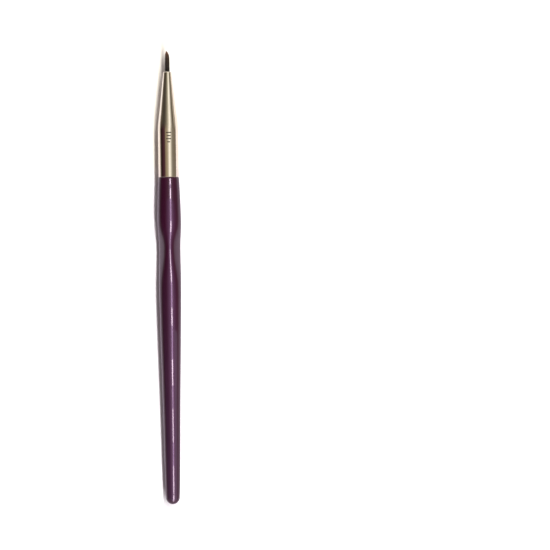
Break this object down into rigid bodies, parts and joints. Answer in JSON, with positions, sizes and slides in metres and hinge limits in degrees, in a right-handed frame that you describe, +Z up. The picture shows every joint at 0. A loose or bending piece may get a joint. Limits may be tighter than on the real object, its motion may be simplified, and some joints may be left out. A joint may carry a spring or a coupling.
{
  "type": "fine detail brush",
  "caption": "Fine detail brush with a lacquered wooden handle, a scooped three-sided finger grip, a tapered metal ferrule and a small pointed tuft that flexes.",
  "frame": {"origin": "on the surface that the brush lies on, under the middle of its length", "axes": "+Y along the brush towards its tip, +Z up through the grip's top ridge, +X across to the right when the tip points away"},
  "size_m": [0.0092, 0.175, 0.0091],
  "materials": {
    "handle_wood": "bare turned birch, hidden under the lacquer",
    "handle_lacquer": "glossy aubergine lacquer",
    "ferrule_metal": "polished, pale champagne tint",
    "glue": "cured adhesive",
    "hair": "fine dark brown hair, soft sheen",
    "hair_tip": "fine hair, golden brown at its point",
    "thread": "waxed tying thread",
    "resin": "cured epoxy"
  },
  "bodies": {
    "brush": {"handle_core": "handle_wood", "lacquer_coat": "handle_lacquer", "ferrule": "ferrule_metal", "tenon_glue": "glue", "tuft_root": "hair", "root_tie": "thread", "root_resin": "resin"},
    "hair_neck": {"tuft_neck": "hair"},
    "hair_tip": {"tuft_tip": "hair_tip"}
  },
  "joints": [
    {"name": "tuft_bend_side", "type": "hinge", "parent": "brush", "child": "hair_neck", "pos_m": [0, 0.07925, 0.00456], "axis": [0, 0, 1], "range_deg": [-35, 35], "stiffness_Nm_per_rad": 0.00075},
    {"name": "tuft_bend_up", "type": "hinge", "parent": "hair_neck", "child": "hair_tip", "pos_m": [0, 0.08185, 0.00456], "axis": [1, 0, 0], "range_deg": [-35, 35], "stiffness_Nm_per_rad": 0.00035}
  ]
}
